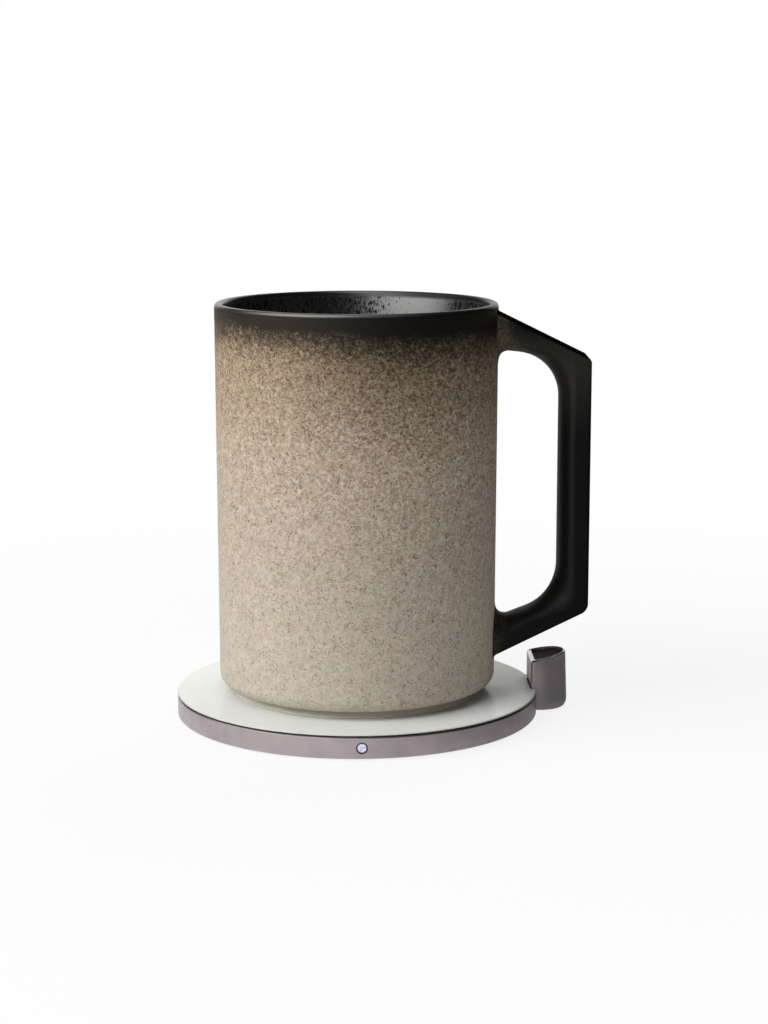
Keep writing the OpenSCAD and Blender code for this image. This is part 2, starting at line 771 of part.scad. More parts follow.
top_plate();
plate_gasket();
rim_shell();
base_cover();
anti_slip_mat();
cover_screws();
coil_tray();
transmitter_ferrite();
transmitter_coil();
plate_sensor();
circuit_board();
board_chips();
board_connector();
ribbon_cable();
status_led();
led_lens();
led_bezel();
post_shell();
post_plate();
post_board();
usb_socket_shell();
usb_tongue();
button_switch();
post_screws();
power_button();
button_retainer();
switch_plunger();
mug_body();
mug_handle();
base_cap();
base_seal();
receiver_coil();
receiver_ferrite();
receiver_board();
rectifier_chips();
insulation_pad();
heater_disc();
thermostat();
heater_leads();
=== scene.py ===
"""Looks of the self-heating stoneware mug and its warming pad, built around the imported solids."""
import json
import math

import bpy
import numpy as np
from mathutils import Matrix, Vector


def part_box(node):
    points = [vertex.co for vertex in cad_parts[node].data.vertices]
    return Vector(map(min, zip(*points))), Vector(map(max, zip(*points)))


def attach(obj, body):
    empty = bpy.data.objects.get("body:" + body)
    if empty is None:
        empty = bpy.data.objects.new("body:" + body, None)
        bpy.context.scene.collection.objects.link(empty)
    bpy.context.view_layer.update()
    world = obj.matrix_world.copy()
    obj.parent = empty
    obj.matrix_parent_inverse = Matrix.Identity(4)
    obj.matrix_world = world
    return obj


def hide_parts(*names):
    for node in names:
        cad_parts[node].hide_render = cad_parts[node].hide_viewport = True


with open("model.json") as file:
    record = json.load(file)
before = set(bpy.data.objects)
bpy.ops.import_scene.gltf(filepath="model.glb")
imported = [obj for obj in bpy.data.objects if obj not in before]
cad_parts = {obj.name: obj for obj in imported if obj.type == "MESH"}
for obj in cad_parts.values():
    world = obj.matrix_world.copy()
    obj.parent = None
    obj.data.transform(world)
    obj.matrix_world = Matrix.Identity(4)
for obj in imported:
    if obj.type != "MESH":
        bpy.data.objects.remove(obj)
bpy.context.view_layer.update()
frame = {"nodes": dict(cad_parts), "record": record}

# Sizes are in millimetres, as in the part's source, and become metres in the meshes
MM = 0.001


def corners(node):
    """Lowest and highest corner of a solid, in millimetres to a hundredth."""
    return [np.round(np.array(corner) / MM, 2).tolist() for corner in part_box(node)]


def widest(node):
    """Furthest that a solid reaches from the Z axis along X or Y."""
    low, high = corners(node)
    return max(abs(side) for side in low[:2] + high[:2])


# Stoneware: wall, round lip, cup, and the bay under the cup's floor
MUG_Z = corners("mug_body")[0][2]
TOP_Z = corners("mug_body")[1][2]
RIM_R = widest("mug_body")
BASE_R = RIM_R - 0.5
BASE_ROUND = 3.4
FLANGE_R = BASE_R - BASE_ROUND
WALL = 3.6
LIP = 1.2
LIP_TAPER = 9.0
BAY_R = 33.0
BAY_Z = corners("heater_disc")[1][2]
CUP_Z = BAY_Z + 5.0
FLOOR_ROUND = 10.0

# Cap that closes the bay: foot, ledge in the bay's rebate, wall and the seal's groove
FOOT_R = 36.4
FOOT_EDGE = 0.3
FOOT_GAP = 0.1
LEDGE_R = widest("base_cap")
REBATE_R = LEDGE_R + 0.2
REBATE = 0.8
CAP_R = 32.7
CAP_IN = 30.2
CAP_FLOOR_Z = corners("receiver_coil")[0][2]
CAP_TOP = corners("base_cap")[1][2]
GROOVE_R = 31.4
GROOVE_LOW = 10.9
GROOVE_HIGH = 12.5

# Handle: a pair holds the upper value and the lower one. The window's heights are where its edges would meet
GRIP_X = corners("mug_handle")[1][0]
HANDLE_HALF = corners("mug_handle")[1][1]
ARM_SLOPE = math.radians(26.2)
ELBOW_Z = (MUG_Z + 96.0, MUG_Z + 22.2)
ELBOW_ROUND = (2.0, 3.4)
WINDOW_X = GRIP_X - 9.0
WINDOW_Z = (ELBOW_Z[0] + 0.6, ELBOW_Z[1] + 3.1)
WINDOW_SLOPE = (math.radians(5.0), math.radians(20.0))
WINDOW_ROUND = (13.0, 15.0)
SIDE_FLAT = 4.4
EDGE_ROUND = 0.7
ROOT_ROUND = 3.0
ROOT_DEPTH = 1.6
ROOT_END = 3.5
WELD = 1.0

# Pad: plate, and the top of the painted shadow line at the plate's lower edge, in the seam over the band
PAD_R = widest("rim_shell")
PLATE_Z = corners("top_plate")[1][2]
SEAM_SHADOW_TOP = PLATE_Z - 0.3

# Post: its flat face stands POST_U from the pad's axis, and its half circle begins POST_SIDE behind the face
POST_AZ = math.radians(5.7)
POST_FACING = POST_AZ - math.radians(4.6)
POST_U = 51.6
POST_X = POST_U * math.cos(POST_AZ)
POST_Y = POST_U * math.sin(POST_AZ)
POST_SIDE = 3.0
POST_Z = corners("post_shell")[0][2]
POST_H = corners("post_plate")[1][2]
POST_R = 8.3
POST_TOP_R = 7.8
POST_RISE = 2.1
POST_SLOPE = POST_RISE / (POST_SIDE + POST_R)
POST_FOOT_IN = 1.2
POST_FOOT_UP = 2.4
POST_BEVEL = 0.5
POST_CORNER = 0.8
FACE_T = 1.0
FACE_SLOT = 6.9
SLOT_DEPTH = FACE_T + 0.02
WELL_R = 7.15
WELL_FLAT = FACE_T + 0.08
WELL_Z = 12.7
THROAT_R = 6.1
THROAT_FLAT = 2.4
SHELF_Z = corners("button_retainer")[1][2]
CAVITY_R = 6.8
CAVITY_FLAT = 2.0

# Power key: stem, skirt and dished top
STEM_R = 5.95
STEM_FLAT = 2.55
STEM_FOOT = corners("power_button")[0][2]
KEY_R = 7.0
KEY_FLAT = 1.15
KEY_CORNER = 0.4
KEY_EDGE = 0.3
KEY_DISH = 0.25
KEY_UNDER = 13.45
KEY_LOW_TOP = 14.6

# Indicator: lens and the ring round it
LED_AZ = math.radians(-88.4)
LED_LOW = corners("led_lens")[0][2]
LED_HIGH = corners("led_lens")[1][2]
LED_Z = (LED_LOW + LED_HIGH) / 2
LENS_R = (LED_HIGH - LED_LOW) / 2
LENS_LEN = 3.2
LENS_SET_IN = 0.1
LENS_DOME = 0.12
LENS_EDGE = 0.05
BEZEL_R = LENS_R + 0.4
BEZEL_LEN = 1.6
BEZEL_ROOM = 0.05
BEZEL_FLATNESS = 0.6


# Surfaces, in arrays of points

def arc(centre, radius, start, end, count):
    """centre + radius * (cos a, sin a) for count angles a from start to end, in degrees."""
    a = np.radians(np.linspace(start, end, count))
    return np.column_stack((centre[0] + radius * np.cos(a), centre[1] + radius * np.sin(a)))


def fillet(a, corner, b, radius, count):
    """Arc of that radius that touches the lines corner-a and corner-b, from a's side to b's."""
    a, corner, b = (np.asarray(point, float) for point in (a, corner, b))
    to_a, to_b = (way / np.linalg.norm(way) for way in (a - corner, b - corner))
    half = math.acos(float(to_a @ to_b)) / 2
    middle = corner + (to_a + to_b) / np.linalg.norm(to_a + to_b) * radius / math.sin(half)
    first, last = (corner + way * radius / math.tan(half) - middle for way in (to_a, to_b))
    turn = math.atan2(first[0] * last[1] - first[1] * last[0], float(first @ last))
    t = np.linspace(0, turn, count)[:, None]
    return middle + first * np.cos(t) + np.array([-first[1], first[0]]) * np.sin(t)


def revolve(profile, count):
    """(r cos t, r sin t, z): the profile's (r, z) points are the rows, count turns t the columns."""
    t = np.arange(count) * (2 * np.pi / count)
    r, z = profile[:, :1], profile[:, 1:]
    return np.stack((r * np.cos(t), r * np.sin(t), z + 0 * t), axis=-1)


def quads(grid):
    """Four corners of each cell of a grid whose columns close on themselves."""
    rows, columns = grid.shape[:2]
    i, j = np.meshgrid(np.arange(rows - 1), np.arange(columns), indexing="ij")
    over = (j + 1) % columns
    cell = (i * columns + j, i * columns + over, (i + 1) * columns + over, (i + 1) * columns + j)
    return np.stack(cell, axis=-1).reshape(-1, 4)


def piece(name, grid, body, finish, slot, *replaced, sharp=32):
    """Mesh of a grid in millimetres. Points that coincide become one, so that seams and poles close,
    and the faces are turned outwards by the sign of the volume that they enclose."""
    flat = np.round(grid.reshape(-1, 3), 5)
    points, index = np.unique(flat, axis=0, return_inverse=True)
    faces = index.reshape(-1)[quads(grid)]
    same = faces == np.roll(faces, -1, axis=1)
    whole = faces[~same.any(axis=1)]
    thin = same.sum(axis=1) == 1
    kept = (same[thin].argmax(axis=1)[:, None] + np.arange(1, 4)) % 4
    tips = np.take_along_axis(faces[thin], kept, axis=1)
    triangles = np.concatenate((whole[:, :3], whole[:, [0, 2, 3]], tips))
    a, b, c = (points[triangles[:, k]] for k in range(3))
    if (a * np.cross(b, c)).sum() < 0:
        whole, tips = whole[:, ::-1], tips[:, ::-1]
    mesh = bpy.data.meshes.new(name)
    mesh.from_pydata((points * MM).tolist(), [], whole.tolist() + tips.tolist())
    mesh.polygons.foreach_set("use_smooth", np.ones(len(mesh.polygons), bool))
    mesh.set_sharp_from_angle(angle=math.radians(sharp))
    mesh.materials.append(finish.material)
    made = bpy.data.objects.new(name, mesh)
    bpy.context.scene.collection.objects.link(made)
    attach(made, body)
    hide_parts(*replaced)


# Finishes

WHITE = (1.0, 1.0, 1.0, 1.0)


def paint(red, green, blue):
    """Linear colour of an sRGB colour of 0 to 255."""
    share = np.array([red, green, blue]) / 255
    linear = np.where(share <= 0.04045, share / 12.92, ((share + 0.055) / 1.055) ** 2.4)
    return (*linear.tolist(), 1.0)


class Value:
    """What a socket gives. An operator on it adds one Math node to its node tree."""

    def __init__(self, nodes, socket):
        self.nodes = nodes
        self.socket = socket

    def __add__(self, other):
        return self.nodes.maths("ADD", self, other)

    def __sub__(self, other):
        return self.nodes.maths("SUBTRACT", self, other)

    def __rsub__(self, other):
        return self.nodes.maths("SUBTRACT", other, self)

    def __mul__(self, other):
        return self.nodes.maths("MULTIPLY", self, other)

    __radd__ = __add__
    __rmul__ = __mul__

    def at_least(self, other):
        """The larger of the two."""
        return self.nodes.maths("MAXIMUM", self, other)

    def above(self, low, high, bottom=0.0, top=1.0):
        """bottom below low, top above high and smooth between."""
        sockets = {"Value": self, "From Min": low, "From Max": high, "To Min": bottom, "To Max": top}
        return self.nodes.node("MapRange", {"interpolation_type": "SMOOTHSTEP"}, sockets)


class Nodes:
    """A node tree, and the one way in which nodes are added to it."""

    def __init__(self, tree):
        self.tree = tree

    def node(self, kind, settings, sockets, output=0):
        """Adds a node of that type: its settings are set first, then its sockets are fed."""
        made = self.tree.nodes.new("ShaderNode" + kind)
        for key, value in settings.items():
            if key == "stops":
                ramp = made.color_ramp.elements
                while len(ramp) < len(value):
                    ramp.new(1.0)
                for stop, (where, colour) in zip(ramp, value):
                    stop.position, stop.color = where, colour
            else:
                setattr(made, key, value)
        for key, value in sockets.items():
            self.feed(made.inputs[key], value)
        return Value(self, made.outputs[output])

    def outputs(self, value, *names):
        """The named outputs of the node that a value comes from."""
        return [Value(self, value.socket.node.outputs[name]) for name in names]

    def feed(self, socket, value):
        """Links a value to a socket, or sets a constant on it."""
        if isinstance(value, Value):
            self.tree.links.new(value.socket, socket)
        else:
            socket.default_value = value

    def maths(self, operation, *inputs):
        return self.node("Math", {"operation": operation}, dict(enumerate(inputs)))

    def vector(self, operation, *inputs, output=0, **named):
        sockets = {**dict(enumerate(inputs)), **named}
        return self.node("VectorMath", {"operation": operation}, sockets, output)


class Finish(Nodes):
    """A material with one Principled shader. Sockets that don't vary are given by name, in small letters."""

    def __init__(self, name, **fixed):
        self.material = bpy.data.materials.new(name)
        self.material.use_nodes = True
        super().__init__(self.material.node_tree)
        self.shader = self.tree.nodes["Principled BSDF"]
        for key, value in fixed.items():
            self.set(key.replace("_", " ").title().replace("Ior", "IOR"), value)
        self.place = self.vector("SCALE", self.node("TexCoord", {}, {}, "Object"), Scale=1 / MM)

    def set(self, socket, value):
        self.feed(self.shader.inputs[socket], value)

    def xyz(self):
        """The three coordinates, in millimetres."""
        return self.outputs(self.node("SeparateXYZ", {}, {0: self.place}), "X", "Y", "Z")

    def radius(self):
        """Distance from the Z axis, in millimetres."""
        flat = self.vector("MULTIPLY", self.place, (1.0, 1.0, 0.0))
        return self.vector("LENGTH", flat, output="Value")

    def noise(self, per_mm, detail=2.0, rough=0.5, where=None):
        """Cloudy noise of 0 to 1 with that many features a millimetre."""
        sockets = {"Vector": where or self.place, "Scale": per_mm, "Detail": detail, "Roughness": rough}
        return self.node("TexNoise", {}, sockets)

    def grains(self, per_mm, where):
        """Cells of that many a millimetre: the distance to a cell's middle, and its random colour."""
        cells = self.node("TexVoronoi", {}, {"Vector": where, "Scale": per_mm})
        return self.outputs(cells, "Distance", "Color")

    def mix(self, share, a, b, how="MIX"):
        """Colour a, going to b as share goes to 1: a Mix node's colour inputs 6 and 7 and its output 2."""
        return self.node("Mix", {"data_type": "RGBA", "blend_type": how}, {0: share, 6: a, 7: b}, 2)

    def ramp(self, value, *stops):
        return self.node("ValToRGB", {"stops": stops}, {0: value})

    def bump(self, height, depth_mm, strength):
        """Shading of a height field of that depth."""
        sockets = {"Height": height, "Distance": depth_mm * MM, "Strength": strength}
        self.set("Normal", self.node("Bump", {}, sockets))


def stoneware():
    """Sandy stoneware. A pale greige ground in faint patches of hue has a brown grain in every cell of a fine
    random pattern. The grains thicken and darken upwards until the rim is charred. The lip and the cup have a
    lustrous black glaze with matt flecks."""
    clay = Finish("speckled_stoneware", specular_ior_level=0.25)
    x, _, z = clay.xyz()
    share_up = z * (1 / TOP_Z)
    warp = clay.node("TexNoise", {}, {"Vector": clay.place, "Scale": 1.3, "Detail": 2.0}, "Color")
    bent = clay.vector("ADD", clay.place, clay.vector("SCALE", warp, Scale=1.2))
    cloud = clay.noise(0.06, 3.0)
    patch = clay.noise(0.3, 4.0, 0.6)
    mottle = clay.noise(0.45, 1.0)
    sand = clay.noise(3.0, 2.0, 0.6)
    fine = clay.noise(1.1, 3.0, 0.7, bent)
    near, pick = clay.grains(2.3, bent)
    share, other = clay.outputs(clay.node("SeparateColor", {}, {0: pick}), "Red", "Green")
    round_off = 1.0 - near.above(0.34, 0.56)

    # The ground warms upwards and has cooler and more olive patches
    ground = clay.ramp(share_up, (0.10, paint(188, 178, 166)), (0.30, paint(184, 173, 160)),
                       (0.60, paint(177, 162, 148)), (0.85, paint(171, 152, 130)),
                       (1.0, paint(168, 144, 116)))
    hue = clay.noise(0.24, 3.0, 0.6, clay.vector("ADD", clay.place, (90.0, 0.0, 0.0)))
    olive = clay.noise(0.15, 3.0, 0.6, clay.vector("ADD", clay.place, (0.0, 90.0, 0.0)))
    tint = clay.mix(hue.above(0.36, 0.64), paint(254, 250, 245), paint(248, 250, 249))
    tint = clay.mix(olive.above(0.48, 0.66) * 0.7, tint, paint(249, 252, 239))
    ground = clay.mix(1.0, ground, tint, "MULTIPLY")

    # Every spot is a little lighter or darker than its neighbours, more so higher up and near the handle
    swing = (0.75 + share_up * share_up * 3.3) * (0.9 + x.above(-25.0, 30.0) * 0.5)
    drift = 0.3 + share_up * 0.3
    level = (fine - 0.5) * swing + (mottle - 0.5) * drift
    warm = [(1.0 + level * part).at_least(0.2) for part in (0.92, 1.0, 1.1)]
    ground = clay.vector("MULTIPLY", ground, clay.node("CombineXYZ", {}, dict(enumerate(warm))))

    # A grain shows where its cell's random share passes a mark that falls with the height
    mark = 0.60 - share_up * 0.18 - (patch - 0.5) * 1.3
    grain = (share - mark).above(0.0, 0.5) * round_off
    strength = 0.65 + share_up * 0.3 + x.above(-20.0, 30.0) * 0.2
    brown = clay.mix(share_up, paint(94, 72, 54), paint(70, 50, 36))
    fleck = other.above(0.80, 0.95) * round_off
    body = clay.mix(fleck * 0.25, ground, paint(226, 214, 198))
    body = clay.mix(grain * strength, body, brown)

    # Distance below the rim, less on the handle's side. Each grain takes the char at its own height
    lean = x.above(-30.0, 20.0) * 2.4 - 0.1
    depth = z - TOP_Z + lean + (cloud - 0.5) * 4.0 + (patch - 0.5) * 4.0
    rough_depth = depth - (fine - 0.5) * 13.0 + (share - 0.5) * round_off * 7.0
    char = rough_depth.above(-16.0, -3.0).at_least(depth.above(-8.0, -3.5))
    thickness = 0.25 + x.above(-35.0, 15.0) * 0.40 - x.above(10.0, 36.0) * 0.12
    smoke = rough_depth.above(-46.0, -8.0) * thickness
    # Painted sheen: the char is a lighter brown on the left, where the light comes from, and black on the
    # handle's side
    soot_with_painted_sheen = clay.mix(x.above(-32.0, 0.0), paint(39, 29, 23), paint(22, 18, 14))
    body = clay.mix(smoke, body, paint(46, 33, 21))
    body = clay.mix(char, body, soot_with_painted_sheen)

    # Larger iron specks lie here and there
    for per_mm, rare in ((1.0, 0.91), (0.55, 0.985)):
        far, pick = clay.grains(per_mm, bent)
        drawn = clay.node("SeparateColor", {}, {0: pick}).above(rare, rare + 0.01)
        speck = drawn * (1.0 - far.above(0.14, 0.40)) * (0.5 - char * 0.5)
        body = clay.mix(speck, body, paint(78, 62, 49))

    # The glaze covers the lip and the cup and loses its lustre lower down
    inside = 1.0 - clay.radius().above(RIM_R - LIP * 1.1, RIM_R - LIP * 0.6)
    glaze = inside * z.above(CUP_Z - 1.0, CUP_Z - 0.5)
    glaze = glaze.at_least(z.above(TOP_Z - 1.5, TOP_Z - 0.5))
    lustre = glaze * (0.3 + z.above(TOP_Z - 45.0, TOP_Z - 12.0) * 0.7)
    # Matt flecks break the lustre, most beside the brightest part of the cup
    runs = clay.vector("MULTIPLY", clay.place, (1.0, 1.0, 0.5))
    matt = clay.noise(1.5, 4.0, 0.75, runs) + x.above(24.0, 31.0) * 0.16 - x.above(2.0, 17.0) * 0.13
    lip = z.above(TOP_Z - 2.2, TOP_Z - 1.0)
    flecked = 1.0 - matt.above(0.48, 0.56) * (1.0 - lip) * 0.9
    # Painted shade: on the handle's side the lip loses its lustre and grey, so its highlight stays on the lit
    # side
    painted_lip_shade = 1.0 - lip * x.above(-5.0, 25.0) * 0.8
    lustre = lustre * flecked * painted_lip_shade
    black = clay.mix(lustre * lustre, paint(8, 8, 7), paint(140, 140, 139))

    clay.set("Base Color", clay.mix(glaze, body, black))
    clay.set("Metallic", lustre)
    clay.set("Roughness", 0.66 - char * 0.16 - glaze * 0.2 + (sand - 0.5) * 0.16)
    clay.bump(sand * 0.5 + (1.0 - near) * 0.3 + patch * 0.4, 0.06, 0.5)
    return clay


def handle_glaze():
    """Satin black glaze that thins to brown, speckled clay where the arms meet the wall. The upper arm's side
    is painted grey below its crest, a painted sheen. Near the crest and on its upward outer face it is
    painted black and without gloss, a painted shade."""
    glaze = Finish("satin_black_glaze", specular_ior_level=0.0, coat_roughness=0.4)
    x, _, z = glaze.xyz()
    cloud = glaze.noise(0.25, 3.0)
    sand = glaze.noise(2.3, 1.0)
    upper = z.above(70.0, 100.0)
    # Height over the upper arm's outer face, which is 0 on the face and negative below it
    crest = z + x * math.tan(ARM_SLOPE) - ELBOW_Z[0] - GRIP_X * math.tan(ARM_SLOPE)
    reach = glaze.radius() - RIM_R + (cloud - 0.5) * 9.0 + (sand - 0.5) * 3.0 + (1.0 - upper) * 5.0
    bare = 1.0 - (reach + upper * (crest.above(-10.0, -2.0) * 8.5 - 6.0)).above(-1.0, 9.0)
    clay = glaze.mix(sand.above(0.30, 0.70), paint(104, 95, 79), paint(72, 63, 52))
    black = glaze.mix(cloud.above(0.3, 0.75), paint(5, 5, 5), paint(11, 11, 10))
    # Painted sheen: the upper arm's side is painted grey, but not near its crest, where the black is painted
    # shade
    edge = crest.above(-4.5, -0.8) * (1.0 - x.above(44.0, 62.0))
    black = glaze.mix(z.above(80.0, 104.0) * (1.0 - edge), black, paint(34, 33, 31))
    # Painted shade: the upper arm's outer face, which faces up, is painted black and given no coat
    face = crest.above(-0.7, -0.2)
    glaze.set("Base Color", glaze.mix(face, glaze.mix(bare * 0.9, black, clay), paint(6, 6, 6)))
    glaze.set("Roughness", 0.5 + (sand - 0.5) * 0.12)
    glaze.set("Coat Weight", (0.42 - bare * 0.25) * (1.0 - face))
    glaze.bump(sand * 0.6 + cloud, 0.06, 0.5)
    return glaze


def anodised():
    """Bead-blasted mauve-grey anodised metal. The sloping edge round the post's top has a near-white
    painted highlight.
    """
    metal = Finish("mauve_anodised", metallic=0.8)
    x, y, z = metal.xyz()
    blast = metal.noise(9.0, 2.0, 0.6)
    cloud = metal.noise(0.12, 2.0)
    tone = metal.mix(cloud.above(0.3, 0.7), paint(176, 167, 170), paint(194, 179, 182))
    tone = metal.mix((blast - 0.3) * 0.5, tone, paint(156, 146, 150))
    along = (x - POST_X) * math.cos(POST_FACING) + (y - POST_Y) * math.sin(POST_FACING)
    # Painted highlight: a near-white, less rough band on the sloping edge round the post's top
    painted_bevel_highlight = (z - POST_H - along * POST_SLOPE).above(-0.6, -0.4) * z.above(10.0, 11.0)
    metal.set("Base Color", metal.mix(painted_bevel_highlight, tone, paint(232, 224, 224)))
    metal.set("Roughness", 0.30 + (blast - 0.5) * 0.12 - painted_bevel_highlight * 0.08)
    metal.bump(blast, 0.012, 0.5)
    return metal


def plate_coat():
    """Satin white coat of the plate, a little uneven in gloss. Its rounded edge is painted greyer, a painted
    shade, and below the top of the seam the edge is painted near black, a painted shadow line over the band."""
    coat = Finish("satin_white_plate", specular_ior_level=0.0, coat_roughness=0.12)
    _, _, z = coat.xyz()
    haze = coat.noise(0.09, 3.0)
    peel = coat.noise(2.6, 2.0)
    edge = coat.radius().above(PAD_R - 0.45, PAD_R - 0.15)
    white = coat.mix(haze.above(0.3, 0.7), paint(223, 225, 221), paint(227, 229, 225))
    # Painted shade: the rounded edge is greyer, dimming the highlight that the lamps put on it
    white = coat.mix(edge, white, paint(196, 197, 194))
    # Painted shadow line: the plate's edge below the seam's top is near black, widening the dark seam
    coat.set("Base Color", coat.mix(z.above(SEAM_SHADOW_TOP - 0.05, SEAM_SHADOW_TOP + 0.05), paint(26, 24, 25), white))
    coat.set("Roughness", 0.40 + (haze - 0.5) * 0.12 + (peel - 0.5) * 0.05)
    coat.set("Coat Weight", 0.5 + (haze - 0.5) * 0.2)
    coat.bump(peel, 0.006, 0.4)
    return coat


def moulded(name, dark, light, per_mm, roughness, depth_mm=0.02, **fixed):
    """Moulded or pressed surface: two tones in fine grain under slow clouds."""
    made = Finish(name, **fixed)
    grain = made.noise(per_mm, 3.0, 0.6)
    cloud = made.noise(per_mm * 0.04, 2.0)
    tone = made.mix(cloud.above(0.3, 0.7), paint(*dark), paint(*light))
    made.set("Base Color", made.mix(grain.above(0.45, 0.8) * 0.4, tone, paint(*light)))
    made.set("Roughness", roughness + (grain - 0.5) * 0.2)
    made.bump(grain, depth_mm, 0.5)
    return made


def lit_lens():
    """Frosted lens, lilac-white where the diode shines through."""
    lens = Finish("lit_lens", roughness=0.35, emission_strength=0.72, specular_ior_level=0.2)
    frost = lens.noise(1.7, 2.0)
    lens.set("Base Color", lens.mix(frost.above(0.3, 0.7), paint(70, 68, 92), paint(84, 82, 106)))
    glow = lens.mix(frost.above(0.40, 0.62), paint(208, 203, 240), paint(255, 254, 255))
    lens.set("Emission Color", glow)
    return lens


FINISHES = {
    "stoneware": stoneware(),
    "black_glaze": handle_glaze(),
    "white_plate": plate_coat(),
    "mauve_metal": anodised(),
    "dark_key": moulded("dark_key", (42, 39, 38), (52, 49, 48), 7.0, 0.6, specular_ior_level=0.04),
    "black_plastic": moulded("black_plastic", (34, 34, 36), (46, 46, 48), 5.0, 0.5),
    "foot_grey": moulded("olive_grey_foot", (218, 214, 200), (226, 222, 208), 4.0, 0.7,
                         specular_ior_level=0.2),
    "indigo_ring": moulded("indigo_ring", (46, 42, 70), (58, 54, 86), 6.0, 0.4),
    "silicone": moulded("grey_silicone", (58, 58, 60), (72, 72, 74), 3.0, 0.75),
    "steel": moulded("bright_steel", (176, 178, 182), (200, 202, 205), 6.0, 0.3, 0.004, metallic=1.0),
    "copper": moulded("enamelled_copper", (178, 96, 52), (205, 126, 74), 4.0, 0.35, 0.01, metallic=0.9),
    "ferrite": moulded("sintered_ferrite", (52, 52, 56), (70, 70, 74), 4.0, 0.7),
    "board": moulded("green_board", (22, 84, 52), (34, 104, 66), 3.0, 0.4, 0.01),
    "white_insulation": moulded("pressed_fibre", (206, 203, 192), (226, 223, 214), 2.0, 0.9, 0.05),
    "lens": lit_lens(),
}


# Pieces

def wall_r(z):
    """Outer radius of the stoneware at a height: it widens evenly from foot to rim."""
    return BASE_R + (RIM_R - BASE_R) * (z - MUG_Z) / (TOP_Z - MUG_Z)


def stoneware_body():
    """Revolved profile: cup floor, rounded corner, inner wall, the taper that touches the round lip, the lip,
    outer wall, bottom corner and bay."""
    inner = BASE_R - WALL
    low = CUP_Z + FLOOR_ROUND
    high = TOP_Z - LIP
    outer_low = MUG_Z + BASE_ROUND
    taper = np.array([wall_r(TOP_Z - LIP_TAPER) - WALL, TOP_Z - LIP_TAPER])
    way = np.array([RIM_R - LIP, high]) - taper
    lean = math.degrees(math.atan2(way[1], way[0]) + math.asin(LIP / np.hypot(*way)))
    lip = arc((RIM_R - LIP, high), LIP, lean + 90, 0, 19)
    bay = [(FLANGE_R, MUG_Z), (REBATE_R, MUG_Z), (REBATE_R, MUG_Z + REBATE), (BAY_R, MUG_Z + REBATE),
           (BAY_R, BAY_Z), (0, BAY_Z)]
    profile = np.concatenate((
        np.linspace((0, CUP_Z), (inner - FLOOR_ROUND, CUP_Z), 12)[:-1],
        arc((inner - FLOOR_ROUND, low), FLOOR_ROUND, -90, 0, 14)[:-1],
        np.linspace((inner, low), taper, 20)[:-1],
        np.linspace(taper, lip[0], 8)[:-1],
        lip[:-1],
        np.linspace((RIM_R, high), (wall_r(outer_low), outer_low), 48)[:-1],
        arc((FLANGE_R, outer_low), BASE_ROUND, 0, -90, 14)[:-1],
        np.array(bay)))
    return revolve(profile, 256)


def base_foot():
    """Revolved profile of the cap that closes the bay: foot with a rounded edge and a sloping side, ledge,
    wall with the seal's groove, inner floor."""
    cap = [(LEDGE_R, MUG_Z - FOOT_GAP), (LEDGE_R, MUG_Z + REBATE), (CAP_R, MUG_Z + REBATE),
           (CAP_R, GROOVE_LOW), (GROOVE_R, GROOVE_LOW), (GROOVE_R, GROOVE_HIGH), (CAP_R, GROOVE_HIGH),
           (CAP_R, CAP_TOP), (CAP_IN, CAP_TOP), (CAP_IN, CAP_FLOOR_Z), (0, CAP_FLOOR_Z)]
    profile = np.concatenate((
        np.linspace((0, PLATE_Z), (FOOT_R - FOOT_EDGE, PLATE_Z), 12)[:-1],
        arc((FOOT_R - FOOT_EDGE, PLATE_Z + FOOT_EDGE), FOOT_EDGE, -90, 0, 7),
        np.array(cap)))
    return revolve(profile, 192)


def even(line, count):
    """That many points at even distances along a line of points, without its two ends."""
    length = np.concatenate(([0], np.cumsum(np.linalg.norm(np.diff(line, axis=0), axis=1))))
    at = np.linspace(0, length[-1], count + 2)[1:-1]
    return np.column_stack([np.interp(at, length, line[:, k]) for k in (0, 1)])


